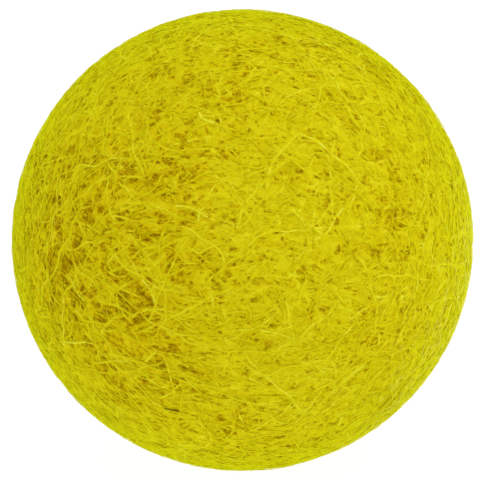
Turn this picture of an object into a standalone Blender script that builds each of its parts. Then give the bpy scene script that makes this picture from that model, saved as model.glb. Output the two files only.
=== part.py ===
"""A felted wool ball, 20 mm across, lying on the small flat that its own weight and the felting press into it.

Metres, +Z up. The origin is the middle of the flat, and -Y is the ball's front.
"""

import math
from collections import namedtuple

import bmesh
import bpy
from mathutils import Vector

BALL_RADIUS = 0.01001
FLAT_RADIUS = 0.0021  # the round flat that the ball lies on
RINGS = 40  # from the flat's edge to the top
SEGMENTS = 80  # around the upright axis

# Below this height the relief dies away, so that the flat's edge stays round and level.
CALM_HEIGHT = 0.0012

WOOL_YELLOW = (0.56, 0.48, 0.005, 1.0)
WOOL_ROUGHNESS = 0.92
WOOL_SHEEN = 0.35

# Thin patches, where the outer fibres lie open like a net and the matted wool below sits a little deeper.
# Azimuth is from the front towards +X and elevation is up from the middle, both in degrees;
# spread is the patch's half width in degrees, and depth is in metres.
Patch = namedtuple("Patch", "azimuth elevation spread depth")
THIN_PATCHES = (
    Patch(-58, 24, 13, 0.00005),
    Patch(-54, 8, 15, 0.00006),
    Patch(-42, -21, 10, 0.00004),
    Patch(-27, 31, 13, 0.00004),
    Patch(-25, 12, 11, 0.00005),
    Patch(-23, -10, 13, 0.00005),
    Patch(-18, -36, 11, 0.00003),
    Patch(44, 7, 14, 0.00003),
    Patch(48, 39, 10, 0.00002),
    Patch(92, -14, 16, 0.00004),
    Patch(105, 30, 14, 0.00003),
    Patch(138, 4, 15, 0.00005),
    Patch(171, -24, 13, 0.00004),
    Patch(178, 38, 15, 0.00003),
    Patch(-142, 9, 14, 0.00005),
    Patch(-104, -12, 15, 0.00004),
    Patch(-98, 44, 12, 0.00003),
    Patch(20, 78, 14, 0.00003),
)

# Slow swells left by rolling the ball between the palms: waves around the ball along one axis each.
Swell = namedtuple("Swell", "axis waves phase height")
SWELLS = (
    Swell(Vector((0.8, 0.3, 0.5)), 3.0, 0.4, 0.000020),
    Swell(Vector((-0.3, 0.9, 0.2)), 4.0, 1.9, 0.000014),
    Swell(Vector((0.2, -0.4, 0.9)), 5.0, 3.1, 0.000010),
)


def clear_scene():
    for item in list(bpy.data.objects):
        bpy.data.objects.remove(item, do_unlink=True)


def direction(azimuth, elevation):
    """The unit vector at an azimuth from the front and an elevation, both in degrees."""
    turn = math.radians(azimuth)
    rise = math.radians(elevation)
    return Vector((math.sin(turn) * math.cos(rise), -math.cos(turn) * math.cos(rise), math.sin(rise)))


def relief(outward):
    """How far the matted surface lies below the round ball in one direction, never above it."""
    depth = 0.0
    for patch in THIN_PATCHES:
        away = outward.angle(direction(patch.azimuth, patch.elevation))
        depth += patch.depth * math.exp(-((away / math.radians(patch.spread)) ** 2))
    for swell in SWELLS:
        wave = math.sin(swell.waves * math.pi * outward.dot(swell.axis.normalized()) + swell.phase)
        depth += swell.height * (1.0 - wave) / 2
    return depth


def turned_profile(shape, flat_height):
    """The half outline in the XZ plane, from the top down to the middle of the flat."""
    first_angle = math.acos(flat_height / BALL_RADIUS)
    points = []
    for ring in range(RINGS + 1):
        angle = (math.pi - first_angle) * ring / RINGS
        points.append(Vector((math.sin(angle), 0.0, math.cos(angle))) * BALL_RADIUS)
    points.append(Vector((0.0, 0.0, -flat_height)))
    corners = [shape.verts.new(point + Vector((0.0, 0.0, flat_height))) for point in points]
    return corners, [shape.edges.new(pair) for pair in zip(corners, corners[1:])]


def ball_mesh():
    """The ball turned from its outline, with its relief pressed in above the flat."""
    flat_height = math.sqrt(BALL_RADIUS**2 - FLAT_RADIUS**2)
    middle = Vector((0.0, 0.0, flat_height))
    shape = bmesh.new()
    corners, edges = turned_profile(shape, flat_height)
    bmesh.ops.spin(
        shape,
        geom=corners + edges,
        cent=(0.0, 0.0, 0.0),
        axis=(0.0, 0.0, 1.0),
        angle=2 * math.pi,
        steps=SEGMENTS,
        use_duplicate=False,
    )
    bmesh.ops.remove_doubles(shape, verts=shape.verts, dist=1e-6)
    bmesh.ops.recalc_face_normals(shape, faces=shape.faces)
    for vert in shape.verts:
        calm = min(vert.co.z / CALM_HEIGHT, 1.0)
        outward = (vert.co - middle).normalized()
        vert.co -= outward * relief(outward) * calm * calm
    for face in shape.faces:
        face.smooth = True
    mesh = bpy.data.meshes.new("felt_ball")
    shape.to_mesh(mesh)
    shape.free()
    return mesh


def wool_material():
    material = bpy.data.materials.new("wool_felt")
    material.use_nodes = True
    surface = material.node_tree.nodes["Principled BSDF"]
    surface.inputs["Base Color"].default_value = WOOL_YELLOW
    surface.inputs["Roughness"].default_value = WOOL_ROUGHNESS
    surface.inputs["Metallic"].default_value = 0.0
    surface.inputs["Sheen Weight"].default_value = WOOL_SHEEN
    return material


def main():
    clear_scene()
    mesh = ball_mesh()
    mesh.materials.append(wool_material())
    ball = bpy.data.objects.new("felt_ball", mesh)
    bpy.context.scene.collection.objects.link(ball)


main()
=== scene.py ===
"""The looks of the felt ball: a mat of crossing wool strands with small pits, under looser fibres."""

import math
from collections import namedtuple

import bpy
import numpy as np
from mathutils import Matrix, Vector


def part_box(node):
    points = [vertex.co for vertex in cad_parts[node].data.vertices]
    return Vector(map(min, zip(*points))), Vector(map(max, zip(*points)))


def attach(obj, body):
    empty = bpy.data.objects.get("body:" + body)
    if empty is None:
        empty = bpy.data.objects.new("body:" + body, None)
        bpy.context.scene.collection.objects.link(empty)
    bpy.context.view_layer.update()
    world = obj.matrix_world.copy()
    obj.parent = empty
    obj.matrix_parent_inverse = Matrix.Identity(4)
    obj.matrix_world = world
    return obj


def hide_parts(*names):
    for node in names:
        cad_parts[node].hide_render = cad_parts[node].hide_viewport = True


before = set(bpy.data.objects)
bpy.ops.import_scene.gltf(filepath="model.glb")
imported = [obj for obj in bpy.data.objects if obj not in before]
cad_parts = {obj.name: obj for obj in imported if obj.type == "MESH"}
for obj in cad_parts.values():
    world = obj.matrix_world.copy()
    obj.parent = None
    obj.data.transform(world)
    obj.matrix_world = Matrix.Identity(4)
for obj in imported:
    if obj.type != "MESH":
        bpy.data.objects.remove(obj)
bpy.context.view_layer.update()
low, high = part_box("felt_ball")

MM = 0.001
BALL_RADIUS = (high.x - low.x) / 2
BALL_CENTRE = np.array((0.0, 0.0, high.z - BALL_RADIUS))
RADIUS_MM = BALL_RADIUS / MM

# The camera looks down on the ball by this much, and the wool whorls around the same line.
VIEW_RISE = math.radians(18)
FRONT = np.array((0.0, -math.cos(VIEW_RISE), math.sin(VIEW_RISE)))
RIGHT = np.array((1.0, 0.0, 0.0))
UP = np.cross(FRONT, RIGHT)
VIEW_DISTANCE = 0.20
# The ball's width, and how far the frame's middle is from the ball's, as shares of the frame's width.
FRAME_PIXELS = 480
BALL_SHARE = 461.1 / FRAME_PIXELS
SHIFT_ACROSS = -2.5 / FRAME_PIXELS
SHIFT_UP = 0.6 / FRAME_PIXELS

# Weak, wide lights, each from so much front, right and up, with its angle in degrees.
Light = namedtuple("Light", "name front right up energy angle")
LIGHTS = (
    Light("key", 0.6, 0.41, 0.98, 0.852, 35),
    Light("edge", -0.3, 0.8, 0.5, 0.2, 60),
)
FLOOR_GREY = 0.12
FLOOR_GLOW = 0.96  # keeps the floor near white
SKY_GLOW = 0.755

# How the wool is combed.
WHORL_MIDDLE = 0.45  # it lies across up to here, in ball radii, and circles from twice as far out
MIDDLE_SLOPE = math.radians(-14)  # the slope at which it lies across
WHORL_STRAY = 0.45  # how far its lie swings over the ball, in radians
ACROSS_SHARE = 1.02  # a little over 1, so that a trace of that way is left where it circles

# Where the outer wool lies thin and open. Azimuth runs from the front towards +X, elevation up, in degrees.
Patch = namedtuple("Patch", "azimuth elevation spread openness")
THIN_PATCHES = (
    Patch(-52, 13, 11, 1.0),
    Patch(-51, -2, 9, 1.0),
    Patch(-57, 27, 8, 0.9),
    Patch(-70, 24, 9, 0.8),
    Patch(-4, -30, 10, 0.3),
    Patch(-28, 0, 8, 1.0),
    Patch(-23, 16, 8, 0.9),
    Patch(-39, 32, 9, 1.0),
    Patch(-18, 35, 8, 0.9),
    Patch(-39, -23, 9, 0.8),
    Patch(-22, -15, 8, 0.7),
    Patch(-40, 5, 16, 0.2),
    Patch(-40, 50, 11, 0.5),
    Patch(-12, 55, 11, 0.3),
    Patch(-13, -34, 10, 0.3),
    Patch(38, -10, 8, 0.6),
    Patch(43, 14, 9, 0.6),
    Patch(92, -14, 13, 0.8),
    Patch(104, 22, 11, 0.9),
    Patch(138, 4, 13, 0.8),
    Patch(150, 41, 11, 0.5),
    Patch(171, -24, 13, 0.8),
    Patch(-166, 25, 11, 0.7),
    Patch(-142, 2, 12, 0.9),
    Patch(-120, -36, 11, 0.5),
    Patch(-104, -8, 11, 0.8),
    Patch(-98, 40, 12, 0.6),
    Patch(70, 66, 12, 0.5),
)
THIN_NOISE = 0.12  # how far the patches' openness strays

# A painted highlight on the loosest wool, on one side as if lit from there: from this far towards that side,
# in ball radii, fully after the fade.
FUZZ_HIGHLIGHT_SIDE = RIGHT * 0.9 - UP * 0.35 - FRONT * 0.2
FUZZ_HIGHLIGHT_FROM = 0.5
FUZZ_HIGHLIGHT_FADE = 0.35

# One row for each layer of strands, roughly from the deepest out, with lengths, widths and depths in mm.
# depth is the crest's mean depth and spread how far it strays from it. wander is how far a strand strays
# from the combed direction, in degrees, crimp how much it waves, in degrees, and thinning how far the thin
# patches open the layer. tone is the strands' mean shade and lift how far a strand's middle stands proud.
# All but the lifted ones are pressed into the mat, and the loose ones are fibres of their own.
# On the wool's ramp the layers' mean tones fall with depth as painted shade, over each strand's own random
# shade.
Layer = namedtuple("Layer", "name count length width depth spread wander crimp thinning tone lift loose seed")
LAYERS = (
    Layer("deep", 12000, 0.9, 0.085, 0.145, 0.020, 90, 16, 0.0, 0.15, 0.0, False, 10),
    Layer("felted", 21000, 0.8, 0.080, 0.076, 0.020, 50, 15, 0.55, 0.32, 0.0, False, 11),
    Layer("crossing", 5500, 1.1, 0.075, 0.055, 0.016, 42, 13, 0.55, 0.45, 0.0, False, 12),
    Layer("surface", 3000, 1.8, 0.075, 0.042, 0.014, 32, 12, 0.55, 0.56, 0.0, False, 13),
    Layer("short_wool", 6500, 1.1, 0.088, 0.050, 0.028, 45, 19, 0.80, 0.46, 0.0, True, 17),
    Layer("under_wool", 2100, 2.8, 0.090, 0.040, 0.022, 42, 13, 0.25, 0.58, 0.0, True, 14),
    Layer("outer_wool", 500, 3.6, 0.086, 0.026, 0.020, 40, 12, 0.0, 0.60, 0.0, True, 15),
    Layer("fuzz", 15000, 1.0, 0.013, 0.014, 0.008, 50, 16, 0.0, 0.34, 0.030, True, 16),
)
STEP = 0.05  # millimetres walked between two points of a strand
RING_STEPS = 4  # steps between two rings of a loose fibre's mesh
START_SHAKE = 1.2  # how far the even places are shaken, over the square root of their number, in ball radii
SHAKE = 0.10  # how far a strand then strays sideways, in millimetres
SLIDE = 0.7  # and along its heading
SWERVE = 0.10  # how far it turns there, in radians
CURVE = (0.20, 0.08)  # two parts of how much it bends one way, in radians to the millimetre
PHASE_DRIFT = 0.4  # in radians
# What shares of its layer's length, crimp, width and lift a strand may have, and its waves' length, in mm.
LENGTH_SHARES = (0.5, 1.4)
CRIMP_SHARES = (0.3, 1.7)
WIDTH_SHARES = (0.75, 1.25)
LIFT_SHARES = (0.2, 1.0)
WAVELENGTHS = (0.8, 2.0)
WAVE_DRIFT = (0.93, 1.07)  # a further share of that length
SPREAD_SHARE = 0.8  # how much of its layer's spread in depth a strand strays by, and again waves by
TONE_SPREAD = 0.15
FUZZ_HIGHLIGHT = 0.56  # how much paler the lifted strands are painted on that side: a painted highlight
END_DIP = 0.06  # how far a strand's ends go down into the wool, in millimetres

# The mat is a grid of points on the six faces of a cube, blown up to the ball.
Face = namedtuple("Face", "name outward across upward")
FACES = (
    Face("mat_front", (0, -1, 0), (1, 0, 0), (0, 0, 1)),
    Face("mat_right", (1, 0, 0), (0, 1, 0), (0, 0, 1)),
    Face("mat_back", (0, 1, 0), (-1, 0, 0), (0, 0, 1)),
    Face("mat_left", (-1, 0, 0), (0, -1, 0), (0, 0, 1)),
    Face("mat_top", (0, 0, 1), (1, 0, 0), (0, 1, 0)),
    Face("mat_bottom", (0, 0, -1), (1, 0, 0), (0, -1, 0)),
)
MAT_POINTS = 208  # along each edge of a face
FELT_DEPTH = 0.19  # how deep the felt lies where no strand crosses it, in millimetres
FLOOR_TONE = 0.3  # its shade there, kept low as painted shade
FLOOR_SWELL = 0.02  # how far it swells up and down there, in millimetres
STRAND_DROP = 0.025  # from a strand's crest to its edge, in millimetres
FIBRE_SQUASH = 0.20  # a loose fibre's height as a share of its width
HEIGHT_SOFTENING = 0.25  # how far each point moves towards its neighbours' mean
TONE_SOFTENING = 0.4
GRAIN_RELIEF = 0.002  # the felt's roughness from point to point, in millimetres
GRAIN_SHADE = 0.02
SUNK_DEPTH = 0.2  # the depth in millimetres from which the mat gets its full painted shade
OCHRE_REACH = 1.5  # how much broader the ochre lies than the thin patches
LOWEST_HEIGHT = -0.5  # where the codes of height start, in millimetres
HEIGHT_CODES = 1 << 24  # steps of height to the millimetre, so that a height is a whole number
TONE_CODES = 256  # steps of shade
FACE_EDGE = 0.4  # with a cosine below this, a strand is too far round to reach a face
JOIN_STEPS = 1e5  # steps to the ball's radius: points that fall on the same step are one
PRESSED_AT_ONCE = 3000  # strands, to save memory
MAT_MAP_EDGE = 0.01  # left free around each piece's UV map
MAP_COLUMNS = 40  # strips across the fibres' UV map
STRIP_EDGE = 0.1  # left free around each fibre's strip
FUZZ_ROLL = 90  # how far a fuzz ribbon is rolled from lying flat, in degrees
FUZZ_ROLL_SPREAD = 35

# Fibres too thin for the mat's grid are drawn by its material, along lines of equal height on these axes.
# Each comb has one weight near the whorl's middle and one far from it.
Comb = namedtuple("Comb", "name axis weight_near weight_far")
MIDDLE_AXIS = UP * math.cos(MIDDLE_SLOPE) - RIGHT * math.sin(MIDDLE_SLOPE)
COMBS = (
    Comb("circling", FRONT, 0.0, 1.0),
    Comb("across", MIDDLE_AXIS, 1.0, 0.25),
    Comb("slanting", RIGHT * 0.75 + UP * 0.6 + FRONT * 0.25, 0.7, 0.7),
    Comb("leaning", RIGHT * 0.8 - UP * 0.35 - FRONT * 0.5, 0.6, 0.6),
)
LINE_SWINGS = (0.035, 0.006)  # how far these lines swing off, widely and finely, in ball radii
POLE_FADE = 0.3  # how near its axis a comb has faded out, in ball radii: it starts to fade twice as far out

# The fine lines themselves, with lengths in millimetres.
LINE_REACH = 0.7  # how far one runs before it wanders off
LINE_SPACING = 0.25
LINE_THICKNESS = 0.085  # as a share of the noise that it is cut from
LINE_OFFSET = 3.7  # keeps the combs' noises apart
LINE_SHADE = 0.16  # how much paler a line is
LINE_COVER = 0.75  # how much of the painted shade below a line hides

# The pits, in mm. One shows where the noise falls under a level, which thin patches and clusters raise.
PIT_REACH = 0.37  # how long a pit is along its comb, about
PIT_SPACING = 0.205
PIT_OFFSET = 50.0
PIT_LEVEL = 0.421
PIT_THIN_RISE = 0.085
PIT_CLUSTER = 0.65  # how wide a cluster is
PIT_CLUSTER_SHARE = 0.4
PIT_CLUSTER_THIN = 0.8
PIT_STEEPNESS = 8.0
# A pit's darkness is painted shade; its bump is only MAT_RELIEF deep.
PIT_SHADE = 0.70
UNDER_PIT_SHADE = 0.45  # how dark the pits' painted shade shows on the longer loose fibres
SHORT_PIT_SHADE = 0.75  # and on the short ones

WOOL_ROUGHNESS = 0.9
WOOL_SHEEN = (0.72, 1.0, 0.0, 1.0)
MAT_RELIEF = 0.01  # how far the fine lines stand over the pits, in millimetres
MAT_SMOOTHING = -0.06  # what a raised line adds to the roughness, and a pit takes off
TONE_CLOUD = 0.25  # how far a fibre keeps one shade, in millimetres
TONE_DRIFT = 0.9  # how far its shade comes and goes
SCALE_SIZE = 0.08  # the scales on a fibre, in millimetres
SCALE_RELIEF = 0.008
SCALE_ROUGHNESS = 0.3  # what a scale adds to the roughness
BETWEEN_ROUGHNESS = 0.75  # the roughness between scales

# Colour ramps: the wool, the dark hairs and the fuzz from dark to pale, and the painted shade that multiplies
# the wool in pits and where the mat lies deep.
Tint = namedtuple("Tint", "place red green blue")
WOOL_TINTS = (
    Tint(0.0, 0.56, 0.430, 0.001),
    Tint(0.4, 0.65, 0.550, 0.003),
    Tint(0.7, 0.72, 0.637, 0.007),
    Tint(0.9, 0.77, 0.708, 0.014),
    Tint(1.0, 0.80, 0.760, 0.040),
)
HAIR_TINTS = (
    Tint(0.0, 0.045, 0.022, 0.003),
    Tint(1.0, 0.12, 0.065, 0.008),
)
# The fuzz is paler and greener than the wool, partly its own colour and partly painted rim light; its palest
# end mostly comes with the painted highlight.
FUZZ_TINTS = (
    Tint(0.0, 0.80, 0.775, 0.004),
    Tint(0.7, 0.88, 0.86, 0.010),
    Tint(1.0, 0.96, 0.95, 0.160),
)
PIT_SHADE_TINTS = (
    Tint(0.28, 1.0, 1.0, 1.0),
    Tint(0.50, 0.86, 0.76, 0.5),
    Tint(0.95, 0.52, 0.37, 0.3),
)
OCHRE = (1.0, 0.925, 0.78, 1.0)  # multiplies the mat around the thin patches

# Short dark hairs caught in the wool: their places and slopes in degrees, their lengths in millimetres.
Hair = namedtuple("Hair", "azimuth elevation slope length")
STRAY_HAIRS = (
    Hair(-23, -28.7, -12, 0.95),
    Hair(71, 18, 63, 0.7),
    Hair(163, -8, 35, 0.8),
    Hair(-117, 31, -50, 0.6),
)
HAIR_WIDTH = 0.065
HAIR_CREST = 0.006  # how far a hair's middle stands proud, in millimetres
HAIR_DIP = 0.05  # how far its ends go down from there
HAIR_BENDS = (0.5, -0.9)  # how it bends from one end to the other, in radians
HAIR_RINGS = 5

# The smooth noise.
NOISE_WAVES = 9
NOISE_HEIGHT = 3.2  # divides their sum, which then mostly stays between -1 and 1


def unit(vectors):
    return vectors / np.linalg.norm(vectors, axis=-1, keepdims=True)


def direction(azimuth, elevation):
    turn = math.radians(azimuth)
    rise = math.radians(elevation)
    return np.array((math.sin(turn) * math.cos(rise), -math.cos(turn) * math.cos(rise), math.sin(rise)))


def smooth_noise(points, waves, seed):
    """A gentle field, mostly between -1 and 1, over the ball: sine waves in seeded directions, added up."""
    rng = np.random.default_rng(seed)
    total = np.zeros(points.shape[:-1])
    for _ in range(NOISE_WAVES):
        axis = unit(rng.normal(size=3)) * waves * rng.uniform(0.7, 1.4)
        total += np.sin(points @ axis + rng.uniform(0, 2 * math.pi))
    return total / NOISE_HEIGHT


def thinness(points, reach=1.0):
    """0 where the outer wool is thick, up to 1 in the middle of a thin patch, which reach makes broader."""
    open_share = np.zeros(points.shape[:-1])
    for patch in THIN_PATCHES:
        away = np.arccos(np.clip(points @ direction(patch.azimuth, patch.elevation), -1, 1))
        open_share += patch.openness * np.exp(-((away / math.radians(patch.spread * reach)) ** 2))
    open_share += THIN_NOISE * smooth_noise(points, waves=9.0, seed=5)
    return np.clip(open_share, 0.0, 1.0)


def fuzz_highlight_share(points):
    """1 on the side where the loosest wool gets its painted highlight, 0 over the rest."""
    return np.clip((points @ unit(FUZZ_HIGHLIGHT_SIDE) - FUZZ_HIGHLIGHT_FROM) / FUZZ_HIGHLIGHT_FADE, 0, 1)


def turned(points, headings, angles):
    """The headings turned around the ball's outward direction at each point."""
    side = np.cross(points, headings)
    return headings * np.cos(angles)[:, None] + side * np.sin(angles)[:, None]


def whorl_share(points):
    """0 in the middle of the whorl, where the wool lies across, up to 1 where it circles round."""
    from_front = np.linalg.norm(np.cross(FRONT, points), axis=-1)
    return np.clip((from_front - WHORL_MIDDLE) / WHORL_MIDDLE, 0, 1)


def combed(points):
    """The way the wool lies: circling the front whorl out towards its rim, and across it in the middle."""
    circling = np.cross(FRONT, points)
    across = RIGHT * math.cos(MIDDLE_SLOPE) + UP * math.sin(MIDDLE_SLOPE)
    across = across - points * (points @ across)[:, None]
    across *= np.where((circling * across).sum(1) < 0, -1.0, 1.0)[:, None]
    share = whorl_share(points)[:, None]
    heading = unit(circling * share + across * (ACROSS_SHARE - share))
    return turned(points, heading, WHORL_STRAY * smooth_noise(points, waves=3.0, seed=21))


def comb_lines(points, comb):
    """How far along a comb's axis each point lies, in ball radii, and how strongly the comb shows there."""
    axis = unit(comb.axis)
    height = points @ axis + LINE_SWINGS[0] * smooth_noise(points, waves=5.0, seed=41)
    height += LINE_SWINGS[1] * smooth_noise(points, waves=22.0, seed=42)
    from_axis = np.sqrt(np.clip(1 - (points @ axis) ** 2, 0, 1))
    share = whorl_share(points)
    weight = comb.weight_near * (1 - share) + comb.weight_far * share
    return height, weight * np.clip((from_axis - POLE_FADE) / POLE_FADE, 0, 1)


def even_starts(count, thinning, rng):
    """Places spread evenly over the whole ball, then shaken, with fewer of them left in the thin patches."""
    number = np.arange(count)
    height = 1 - (2 * number + 1) / count
    turn = number * math.pi * (3 - math.sqrt(5))  # the golden angle from each to the next
    ring = np.sqrt(1 - height**2)
    starts = np.stack([ring * np.cos(turn), ring * np.sin(turn), height], 1)
    starts = unit(starts + rng.normal(0, START_SHAKE / math.sqrt(count), (count, 3)))
    return starts[rng.uniform(size=count) > thinning * thinness(starts)]


def walked(points, headings, stride, bends):
    """The paths over the round ball, a point for each step: (step, strand, xyz), and the ways they head."""
    path, ways = [points], [headings]
    for bend in bends:
        headings = turned(points, headings, bend)
        ahead = points * np.cos(stride)[:, None] + headings * np.sin(stride)[:, None]
        headings = headings * np.cos(stride)[:, None] - points * np.sin(stride)[:, None]
        points = ahead
        path.append(points)
        ways.append(headings)
    return np.array(path), np.array(ways)


def strand_steps(layer):
    return RING_STEPS * round(layer.length / STEP / RING_STEPS)


def strand_starts(layer, rng):
    """Where a layer's strands start and which way each heads there, near the way the wool is combed."""
    starts = even_starts(layer.count, layer.thinning, rng)
    count = len(starts)
    headings = turned(starts, combed(starts), np.radians(rng.normal(0, layer.wander, count)))
    side = np.cross(starts, headings)
    apart = rng.normal(0, SHAKE / RADIUS_MM, count)
    along = rng.normal(0, SLIDE / RADIUS_MM, count)
    places = unit(starts + side * apart[:, None] + headings * along[:, None])
    ways = headings - places * (places * headings).sum(1)[:, None]
    return places, turned(places, unit(ways), rng.normal(0, SWERVE, count))


def strand_paths(layer, places, ways, length, rng):
    """The strands' wavering paths over the ball, and the ways they head along them."""
    count = len(places)
    steps = strand_steps(layer)
    reach = np.linspace(0, 1, steps)[:, None] * length
    curve = rng.normal(0, CURVE[0], count) + rng.normal(0, CURVE[1], count)
    crimp = np.radians(layer.crimp * rng.uniform(*CRIMP_SHARES, count))
    wave = rng.uniform(*WAVELENGTHS, count) * rng.uniform(*WAVE_DRIFT, count)
    phase = rng.uniform(0, 2 * math.pi, count) + rng.normal(0, PHASE_DRIFT, count)
    turn_rate = curve + crimp * 2 * math.pi / wave * np.cos(2 * math.pi * reach / wave + phase)
    return walked(places, ways, length / steps / RADIUS_MM, turn_rate * length / steps)


def strand_depths(layer, length, rng):
    """How deep each strand's crest lies at each step: it waves up and down, and its ends dip."""
    count = len(length)
    swing = rng.uniform(*WAVELENGTHS, count)
    share = np.linspace(-1, 1, strand_steps(layer) + 1)[:, None]
    waves = np.sin(2 * math.pi * share * length / 2 / swing + rng.uniform(0, 2 * math.pi, count))
    level = layer.depth + layer.spread * rng.normal(0, SPREAD_SHARE, count)
    depth = level + SPREAD_SHARE * layer.spread * waves + END_DIP * np.abs(share) ** 6
    depth -= layer.lift * rng.uniform(*LIFT_SHARES, count) * (1 - share**2)
    return np.maximum(depth, -layer.lift)


# inset is how far under its own crest a strand is pressed into the mat, as a share of its width.
Strands = namedtuple("Strands", "path ways depth width tone inset")


def strands_of(layer):
    """A layer's strands, each with its own length, waves, depth, width and shade."""
    rng = np.random.default_rng(layer.seed)
    places, ways = strand_starts(layer, rng)
    count = len(places)
    length = layer.length * rng.uniform(*LENGTH_SHARES, count)
    path, path_ways = strand_paths(layer, places, ways, length, rng)
    depth = strand_depths(layer, length, rng)
    width = layer.width * rng.uniform(*WIDTH_SHARES, count)
    tone = rng.normal(layer.tone, TONE_SPREAD, count)
    # the lifted strands are painted paler on one side: a painted highlight
    if layer.lift:
        tone += FUZZ_HIGHLIGHT * fuzz_highlight_share(places)
    return Strands(path, path_ways, depth, width, np.clip(tone, 0, 1), FIBRE_SQUASH * layer.loose)


def grid_points(face):
    """The grid's directions on one face of the cube: (row, column, xyz)."""
    spread = np.tan(np.linspace(-math.pi / 4, math.pi / 4, MAT_POINTS))
    across = np.array(face.across)[None, None] * spread[None, :, None]
    upward = np.array(face.upward)[None, None] * spread[:, None, None]
    return unit(np.array(face.outward)[None, None] + across + upward)


def grid_place(points, towards, outward):
    """Which row or column of a face's grid each direction falls on."""
    angle = np.arctan2(points @ np.array(towards), points @ np.array(outward))
    return (angle / (math.pi / 2) + 0.5) * (MAT_POINTS - 1)


def coded(height, tone):
    """A height in millimetres and a tone as one whole number, so that the highest strand brings its tone."""
    steps = ((height - LOWEST_HEIGHT) * HEIGHT_CODES).astype(np.int64)
    return steps * TONE_CODES + np.round(tone * (TONE_CODES - 1)).astype(np.int64)


def decoded(codes):
    return codes // TONE_CODES / HEIGHT_CODES + LOWEST_HEIGHT, codes % TONE_CODES / (TONE_CODES - 1)


def press(codes, face, grid, points, crest, width, tone):
    """Raises one face's grid to the strands that cross it."""
    column = grid_place(points, face.across, face.outward)
    row = grid_place(points, face.upward, face.outward)
    last = MAT_POINTS + 1
    near = points @ np.array(face.outward) > FACE_EDGE
    near &= (column > -2) & (column < last) & (row > -2) & (row < last)
    points, crest, width, tone = points[near], crest[near], width[near], tone[near]
    first_column = np.floor(column[near]).astype(np.int64)
    first_row = np.floor(row[near]).astype(np.int64)
    flat = grid.reshape(-1, 3)
    for row_step in (-1, 0, 1, 2):
        for column_step in (-1, 0, 1, 2):
            r, c = first_row + row_step, first_column + column_step
            inside = (r >= 0) & (r < MAT_POINTS) & (c >= 0) & (c < MAT_POINTS)
            place = (r * MAT_POINTS + c)[inside]
            apart = ((flat[place] - points[inside]) ** 2).sum(1) * RADIUS_MM**2
            fall = STRAND_DROP * apart / (width[inside] / 2) ** 2
            np.maximum.at(codes, place, coded(crest[inside] - fall, tone[inside]))


def mat_heights(grids, all_strands):
    """The coded surface over the six grids: the crests of every strand pressed into a felt floor."""
    heights = []
    for face, grid in zip(FACES, grids):
        floor = -FELT_DEPTH + FLOOR_SWELL * smooth_noise(grid, waves=60.0, seed=31)
        codes = coded(floor, np.full(floor.shape, FLOOR_TONE)).ravel()
        for strands in all_strands:
            count = strands.path.shape[1]
            for some in np.array_split(np.arange(count), max(1, count // PRESSED_AT_ONCE)):
                points = strands.path[:, some].reshape(-1, 3)
                steps = len(strands.path)
                width = np.tile(strands.width[some], steps)
                crest = -strands.depth[:, some].ravel() - strands.inset * width
                tone = np.tile(strands.tone[some], steps)
                press(codes, face, grid, points, crest, width, tone)
        heights.append(codes)
    return np.concatenate(heights)


def quad_corners():
    """The grid's quads as corner numbers, going round so that they face out."""
    at = np.arange(MAT_POINTS * MAT_POINTS).reshape(MAT_POINTS, MAT_POINTS)
    return np.stack([at[:-1, :-1], at[:-1, 1:], at[1:, 1:], at[1:, :-1]], -1).reshape(-1, 4)


def softened(values, links, share):
    """Each value moved towards the mean of its neighbours on the grid."""
    ends = np.concatenate([links, links[:, ::-1]])
    total = np.bincount(ends[:, 0], values[ends[:, 1]], len(values))
    count = np.bincount(ends[:, 0], minlength=len(values))
    return values * (1 - share) + total / count * share


def outward_normals(places, quads):
    """The normals of a closed surface, smooth across the seams between its pieces."""
    first = places[quads[:, 2]] - places[quads[:, 0]]
    second = places[quads[:, 3]] - places[quads[:, 1]]
    facing = np.cross(first, second)
    total = np.zeros_like(places)
    for corner in range(4):
        for axis in range(3):
            total[:, axis] += np.bincount(quads[:, corner], facing[:, axis], len(places))
    return unit(total)


def joined_points(grids):
    """The directions of the six grids' points, those that fall together made one, and which one each is."""
    flat = np.concatenate([grid.reshape(-1, 3) for grid in grids])
    rounded = np.round(flat * JOIN_STEPS).astype(np.int64)
    _, first, joined = np.unique(rounded, axis=0, return_index=True, return_inverse=True)
    return flat[first], joined.reshape(-1)


def mat_surface(codes, joined, quads):
    """The height and tone of each of the mat's points, softened a little and with the felt's grain."""
    highest_codes = np.zeros(joined.max() + 1, np.int64)
    np.maximum.at(highest_codes, joined, codes)
    height, tone = decoded(highest_codes)
    links = np.concatenate([quads[:, :2], quads[:, 1:3]])
    grain = np.random.default_rng(seed=51).normal(0, 1, len(height))
    height = softened(height, links, HEIGHT_SOFTENING) + GRAIN_RELIEF * grain
    tone = softened(tone, links, TONE_SOFTENING) + GRAIN_SHADE * grain
    return height, tone


def mat_pieces(all_strands, material):
    """The felted mat as six pieces that meet edge to edge."""
    grids = [grid_points(face) for face in FACES]
    outward, joined = joined_points(grids)
    quads = quad_corners()
    each = MAT_POINTS * MAT_POINTS
    all_quads = np.concatenate([joined[quads + each * number] for number in range(len(FACES))])
    height, tone = mat_surface(mat_heights(grids, all_strands), joined, all_quads)
    places = on_ball(outward, -height * MM)
    normals = outward_normals(places, all_quads)
    for number, face in enumerate(FACES):
        own = joined[each * number : each * (number + 1)]
        mesh = bpy.data.meshes.new(face.name)
        mesh.from_pydata(places[own], [], quads.tolist())
        mesh.shade_smooth()
        mesh.normals_split_custom_set_from_vertices(normals[own].tolist())
        add_mat_map(mesh, quads)
        add_values(mesh, "tone", np.clip(tone[own], 0, 1))
        # sunk sets painted shade: the mat darkened where it lies deep
        add_values(mesh, "sunk", np.clip(-height[own] / SUNK_DEPTH, 0, 1))
        add_values(mesh, "ochre", thinness(outward[own], OCHRE_REACH))
        add_lie(mesh, outward[own])
        piece = add_piece(mesh, material)
        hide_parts("felt_ball")


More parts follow.
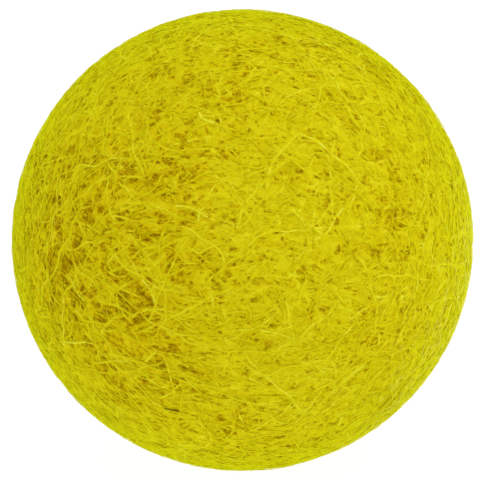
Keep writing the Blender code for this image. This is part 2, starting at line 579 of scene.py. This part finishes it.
def add_mat_map(mesh, quads):
    uv = mesh.uv_layers.new(name="OFBake")
    places = np.stack([quads % MAT_POINTS, quads // MAT_POINTS], -1) / (MAT_POINTS - 1)
    uv.uv.foreach_set("vector", (MAT_MAP_EDGE + (1 - 2 * MAT_MAP_EDGE) * places).astype(np.float32).ravel())


def add_values(mesh, name, values):
    attribute = mesh.attributes.new(name, "FLOAT", "POINT")
    attribute.data.foreach_set("value", np.asarray(values, np.float32).ravel())


def add_lie(mesh, outward):
    """How thin the wool is at each point of a piece, and where the point lies on the combs."""
    add_values(mesh, "thin", thinness(outward))
    for comb in COMBS:
        line, weight = comb_lines(outward, comb)
        add_values(mesh, comb.name, line)
        add_values(mesh, comb.name + "_weight", weight)


def add_piece(mesh, material):
    mesh.materials.append(material)
    piece = bpy.data.objects.new(mesh.name, mesh)
    bpy.context.scene.collection.objects.link(piece)
    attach(piece, "root")
    return piece


def on_ball(directions, depth):
    """Places at a depth under the ball's surface, lying on the floor where the ball is pressed flat."""
    places = BALL_CENTRE + directions * (BALL_RADIUS - depth)[..., None]
    places[..., 2] = np.maximum(places[..., 2], depth)
    return places


def fibre_quads(rings):
    """The faces of one fibre as rows of corner numbers: a ridge with two sides, its underside in the mat."""
    quads = []
    for ring in range(rings - 1):
        for side in range(2):
            a = ring * 3 + side
            quads.append((a, a + 1, a + 4, a + 3))
    return np.array(quads)


def strip_map(count, rings, rows_each):
    """The UV place of every point of every fibre, each fibre on its own strip of the image."""
    rows = math.ceil(count / MAP_COLUMNS)
    cell = np.stack([np.arange(count) % MAP_COLUMNS, np.arange(count) // MAP_COLUMNS], 1)
    along = np.repeat(np.arange(rings) / (rings - 1), rows_each)
    across = np.tile(np.linspace(0, 1, rows_each), rings)
    strip = STRIP_EDGE + (1 - 2 * STRIP_EDGE) * np.stack([along, across], 1)
    return ((cell[:, None] + strip[None]) / np.array((MAP_COLUMNS, rows))).reshape(-1, 2)


def fibre_mesh(name, points, quads, tone):
    """Many like fibres as one mesh. The points go by ring, fibre and row, and the quads are one fibre's."""
    rings, count, rows = points.shape[:3]
    places = points.transpose(1, 0, 2, 3).reshape(-1, 3)
    places[:, 2] = np.maximum(places[:, 2], 0.0)
    all_quads = (quads[None] + np.arange(count)[:, None, None] * rings * rows).reshape(-1, 4)
    mesh = bpy.data.meshes.new(name)
    mesh.from_pydata(places, [], all_quads)
    mesh.shade_smooth()
    uv = mesh.uv_layers.new(name="OFBake")
    uv.uv.foreach_set("vector", strip_map(count, rings, rows)[all_quads.ravel()].astype(np.float32).ravel())
    add_values(mesh, "tone", np.repeat(tone, rings * rows))
    return mesh


def ring_sizes(strands):
    """The rings of a layer's fibres: their places, ways and depths, and their widths in metres."""
    path, ways, depth = (values[::RING_STEPS] for values in (strands.path, strands.ways, strands.depth))
    share = np.linspace(-1, 1, len(path))[:, None]
    width = strands.width[None] * MM * np.sqrt(np.clip(1 - share**8, 0, 1))
    return path, ways, depth, width


def fibre_piece(name, strands, material):
    """A loose layer's fibres as low ridges that taper to their ends, lying on the mat, as one piece."""
    path, ways, depth, width = ring_sizes(strands)
    rings = len(path)
    side = np.cross(path, ways) * width[..., None] / 2
    crest = on_ball(path, depth * MM)
    foot = on_ball(path, depth * MM + width * FIBRE_SQUASH)
    points = np.stack([foot + side, crest, foot - side], 2)
    mesh = fibre_mesh(name, points, fibre_quads(rings), strands.tone)
    add_lie(mesh, np.repeat(path.transpose(1, 0, 2).reshape(-1, 3), 3, axis=0))
    add_piece(mesh, material)


def fuzz_piece(name, strands, material):
    """The fuzz as thin ribbons that mostly stand on edge, so it is faint from above and thick at the rim."""
    path, ways, depth, width = ring_sizes(strands)
    rings, count = depth.shape
    rng = np.random.default_rng(seed=61)
    roll = np.radians(rng.normal(FUZZ_ROLL, FUZZ_ROLL_SPREAD, count))[None, :, None]
    side = np.cross(path, ways) * np.cos(roll) + path * np.sin(roll)
    middle = on_ball(path, depth * MM)
    half = side * width[..., None] / 2
    points = np.stack([middle + half, middle - half], 2)
    quads = np.arange(rings - 1)[:, None] * 2 + np.array((0, 1, 3, 2))
    add_piece(fibre_mesh(name, points, quads, strands.tone), material)


def ramp_colour(tree, tints, place):
    """The tints blended by their places."""
    ramp = tree.nodes.new("ShaderNodeValToRGB")
    while len(ramp.color_ramp.elements) < len(tints):
        ramp.color_ramp.elements.new(0.5)
    for element, tint in zip(ramp.color_ramp.elements, tints):
        element.position = tint.place
        element.color = (tint.red, tint.green, tint.blue, 1.0)
    tree.links.new(place, ramp.inputs["Fac"])
    return ramp.outputs["Color"]


def multiplied(tree, colour, other, share=1.0):
    """One colour multiplied by another, each a socket or a plain colour, as far as the share says."""
    mix = tree.nodes.new("ShaderNodeMix")
    mix.data_type = "RGBA"
    mix.blend_type = "MULTIPLY"
    for name, value in (("Factor", share), ("A", colour), ("B", other)):
        if isinstance(value, bpy.types.NodeSocket):
            tree.links.new(value, mix.inputs[name])
        else:
            mix.inputs[name].default_value = value
    return mix.outputs["Result"]


def attribute(tree, name):
    node = tree.nodes.new("ShaderNodeAttribute")
    node.attribute_name = name
    return node.outputs["Fac"]


def math_node(tree, operation, *values, clamped=False):
    """A Math node's result from its inputs, each a number or a socket."""
    node = tree.nodes.new("ShaderNodeMath")
    node.operation = operation
    node.use_clamp = clamped
    for socket, value in zip(node.inputs, values):
        if isinstance(value, bpy.types.NodeSocket):
            tree.links.new(value, socket)
        else:
            socket.default_value = value
    return node.outputs["Value"]


def noise_node(tree, place, scale):
    noise = tree.nodes.new("ShaderNodeTexNoise")
    noise.inputs["Scale"].default_value = scale
    noise.inputs["Detail"].default_value = 1.0
    tree.links.new(place, noise.inputs["Vector"])
    return noise


def wool_surface(name):
    """A soft, dry surface, and the tree it is in."""
    material = bpy.data.materials.new(name)
    material.use_nodes = True
    tree = material.node_tree
    surface = tree.nodes["Principled BSDF"]
    surface.inputs["Roughness"].default_value = WOOL_ROUGHNESS
    surface.inputs["Specular IOR Level"].default_value = 0.015
    surface.inputs["Sheen Weight"].default_value = 1.0
    surface.inputs["Sheen Roughness"].default_value = 0.40
    surface.inputs["Sheen Tint"].default_value = WOOL_SHEEN
    return material, tree, surface


def wool_material(name, tints, pit_shade=0.0):
    """Loose fibres: each has its own shade, which comes and goes along it, and fine scales. With pit_shade,
    they are darkened over the pits as painted shade.
    """
    material, tree, surface = wool_surface(name)
    place = tree.nodes.new("ShaderNodeTexCoord").outputs["Object"]
    cloud = noise_node(tree, place, 1 / (TONE_CLOUD * MM)).outputs["Fac"]
    drift = math_node(tree, "MULTIPLY_ADD", cloud, TONE_DRIFT, -TONE_DRIFT / 2)
    tone = math_node(tree, "ADD", drift, attribute(tree, "tone"), clamped=True)
    colour = ramp_colour(tree, tints, tone)
    # painted shade: the fibres darkened over the pits
    if pit_shade:
        depth = math_node(tree, "MULTIPLY", pit_depth(tree, place), pit_shade)
        colour = multiplied(tree, colour, ramp_colour(tree, PIT_SHADE_TINTS, depth))
    tree.links.new(colour, surface.inputs["Base Color"])
    scales = relief_of(tree, surface, cloud_noise(tree, place, SCALE_SIZE), 0.0, SCALE_RELIEF)
    roughness = math_node(tree, "MULTIPLY_ADD", scales, SCALE_ROUGHNESS, BETWEEN_ROUGHNESS)
    tree.links.new(roughness, surface.inputs["Roughness"])
    return material


def comb_noise(tree, place, comb, reach, spacing, offset):
    """Noise drawn out along a comb's lines: slow over reach along them, quick over spacing across, in mm."""
    scaled = tree.nodes.new("ShaderNodeVectorMath")
    scaled.operation = "SCALE"
    scaled.inputs["Scale"].default_value = 1 / (reach * MM)
    tree.links.new(place, scaled.inputs[0])
    noise = noise_node(tree, scaled.outputs["Vector"], 1.0)
    noise.noise_dimensions = "4D"
    across = math_node(tree, "MULTIPLY_ADD", attribute(tree, comb.name), RADIUS_MM / spacing, offset)
    tree.links.new(across, noise.inputs["W"])
    return noise.outputs["Fac"]


def cloud_noise(tree, place, size):
    """Soft round noise, size millimetres from one swell to the next."""
    noise = noise_node(tree, place, 1 / (size * MM))
    noise.noise_dimensions = "4D"
    noise.inputs["W"].default_value = 0.0
    return noise.outputs["Fac"]


def fine_lines(tree, place, comb, offset):
    """Thin wavering lines along a comb, from 0 between them to its weight on them."""
    noise = comb_noise(tree, place, comb, LINE_REACH, LINE_SPACING, offset)
    away = math_node(tree, "ABSOLUTE", math_node(tree, "SUBTRACT", noise, 0.5))
    line = math_node(tree, "SUBTRACT", 1.0, math_node(tree, "DIVIDE", away, LINE_THICKNESS), clamped=True)
    return math_node(tree, "MULTIPLY", line, attribute(tree, comb.name + "_weight"))


def highest(tree, values):
    top = values[0]
    for value in values[1:]:
        top = math_node(tree, "MAXIMUM", top, value)
    return top


def pit_depth(tree, place):
    """Small pits in clusters, most of them in the thin patches, from 0 between them to 1 in them."""
    specks = [comb_noise(tree, place, comb, PIT_REACH, PIT_SPACING, PIT_OFFSET) for comb in COMBS[:2]]
    speck = math_node(tree, "MINIMUM", specks[0], specks[1])
    thin = attribute(tree, "thin")
    level = math_node(tree, "MULTIPLY_ADD", thin, PIT_THIN_RISE, PIT_LEVEL)
    patchy = math_node(tree, "MULTIPLY_ADD", thin, PIT_CLUSTER_THIN, PIT_CLUSTER_SHARE)
    cluster = math_node(tree, "SUBTRACT", cloud_noise(tree, place, PIT_CLUSTER), 0.5)
    level = math_node(tree, "ADD", level, math_node(tree, "MULTIPLY", cluster, patchy))
    return math_node(tree, "MULTIPLY", math_node(tree, "SUBTRACT", level, speck), PIT_STEEPNESS, clamped=True)


def mat_material():
    """Matted wool: fine fibres over small pits, each strand of its own shade, and painted shade, ochre to
    brown, between them in the pits and where the mat lies deep.
    """
    material, tree, surface = wool_surface("wool_mat")
    place = tree.nodes.new("ShaderNodeTexCoord").outputs["Object"]
    lines = [fine_lines(tree, place, comb, LINE_OFFSET * number) for number, comb in enumerate(COMBS)]
    web = highest(tree, lines)
    pit = pit_depth(tree, place)
    uncovered = math_node(tree, "SUBTRACT", 1.0, math_node(tree, "MULTIPLY", web, LINE_COVER))
    # painted shade from the pits and from how deep the mat lies, partly hidden under the lines
    depth = math_node(tree, "ADD", math_node(tree, "MULTIPLY", pit, PIT_SHADE), attribute(tree, "sunk"))
    painted_shade = math_node(tree, "MULTIPLY", depth, uncovered)
    tone = math_node(tree, "MULTIPLY_ADD", web, LINE_SHADE, attribute(tree, "tone"))
    colour = multiplied(tree, ramp_colour(tree, WOOL_TINTS, tone), ramp_colour(tree, PIT_SHADE_TINTS, painted_shade))
    colour = multiplied(tree, colour, OCHRE, attribute(tree, "ochre"))
    tree.links.new(colour, surface.inputs["Base Color"])
    relief = relief_of(tree, surface, web, pit, MAT_RELIEF)
    roughness = math_node(tree, "MULTIPLY_ADD", relief, MAT_SMOOTHING, WOOL_ROUGHNESS)
    tree.links.new(roughness, surface.inputs["Roughness"])
    return material


def relief_of(tree, surface, raised, sunk, depth):
    """Bumps a surface by raised less sunk, depth millimetres for 1, and returns that difference."""
    relief = math_node(tree, "SUBTRACT", raised, sunk)
    bump = tree.nodes.new("ShaderNodeBump")
    bump.inputs["Distance"].default_value = depth * MM
    tree.links.new(relief, bump.inputs["Height"])
    tree.links.new(bump.outputs["Normal"], surface.inputs["Normal"])
    return relief


def stray_hairs():
    """The few short dark hairs caught in the wool."""
    starts = np.array([direction(hair.azimuth, hair.elevation) for hair in STRAY_HAIRS])
    level_ways = unit(np.cross((0.0, 0.0, 1.0), starts))
    ways = turned(starts, level_ways, np.radians([hair.slope for hair in STRAY_HAIRS]))
    steps = HAIR_RINGS * RING_STEPS
    length = np.array([hair.length for hair in STRAY_HAIRS])
    bends = np.linspace(*HAIR_BENDS, steps)[:, None] * np.ones(len(length)) / steps
    path, ways = walked(starts, ways, length / steps / RADIUS_MM, bends)
    share = np.linspace(-1, 1, steps + 1)[:, None]
    depth = -HAIR_CREST + HAIR_DIP * np.abs(share) ** 4 * np.ones(len(length))
    return Strands(path, ways, depth, np.full(len(length), HAIR_WIDTH), np.full(len(length), 0.5), 0.0)


def floor_and_world():
    bpy.ops.mesh.primitive_plane_add(size=6.0)
    floor = bpy.context.object
    floor.name = "floor"
    material = bpy.data.materials.new("floor_white")
    material.use_nodes = True
    surface = material.node_tree.nodes["Principled BSDF"]
    surface.inputs["Base Color"].default_value = (FLOOR_GREY, FLOOR_GREY, FLOOR_GREY, 1.0)
    surface.inputs["Roughness"].default_value = 1.0
    surface.inputs["Specular IOR Level"].default_value = 0.0
    surface.inputs["Emission Color"].default_value = (1.0, 1.0, 1.0, 1.0)
    surface.inputs["Emission Strength"].default_value = FLOOR_GLOW
    floor.data.materials.append(material)
    world = bpy.data.worlds.new("studio")
    bpy.context.scene.world = world
    world.use_nodes = True
    world.node_tree.nodes["Background"].inputs["Color"].default_value = (1.0, 1.0, 1.0, 1.0)
    world.node_tree.nodes["Background"].inputs["Strength"].default_value = SKY_GLOW


def soft_light(light):
    """A weak, wide light that shines from one side."""
    data = bpy.data.lights.new(light.name, "SUN")
    data.energy = light.energy
    data.angle = math.radians(light.angle)
    lamp = bpy.data.objects.new(light.name, data)
    bpy.context.scene.collection.objects.link(lamp)
    towards = FRONT * light.front + RIGHT * light.right + UP * light.up
    lamp.rotation_euler = Vector(towards).to_track_quat("Z", "Y").to_euler()


def camera():
    """Looks straight at the middle of the ball, which nearly fills the frame."""
    data = bpy.data.cameras.new("camera")
    half_angle = math.asin(BALL_RADIUS / VIEW_DISTANCE)
    data.lens = data.sensor_width * BALL_SHARE / (2 * math.tan(half_angle))
    data.shift_x = SHIFT_ACROSS
    data.shift_y = SHIFT_UP
    data.clip_start = 0.01
    view = bpy.data.objects.new("camera", data)
    bpy.context.scene.collection.objects.link(view)
    view.location = BALL_CENTRE + FRONT * VIEW_DISTANCE
    view.rotation_euler = (math.pi / 2 - VIEW_RISE, 0.0, 0.0)
    bpy.context.scene.camera = view


def main():
    bpy.context.scene.view_settings.view_transform = "Standard"
    camera()
    floor_and_world()
    for light in LIGHTS:
        soft_light(light)
    strands = {layer.name: strands_of(layer) for layer in LAYERS}
    lying = [strands[layer.name] for layer in LAYERS if not layer.lift]
    mat_pieces(lying, mat_material())
    wool = wool_material("wool_fibre", WOOL_TINTS, UNDER_PIT_SHADE)
    short = wool_material("short_fibre", WOOL_TINTS, SHORT_PIT_SHADE)
    fuzz = wool_material("wool_fuzz", FUZZ_TINTS)
    for layer in LAYERS:
        if layer.lift:
            fuzz_piece(layer.name, strands[layer.name], fuzz)
        elif layer.loose:
            material = short if layer.name == "short_wool" else wool
            fibre_piece(layer.name, strands[layer.name], material)
    fibre_piece("stray_hairs", stray_hairs(), wool_material("dark_hair", HAIR_TINTS))


main()
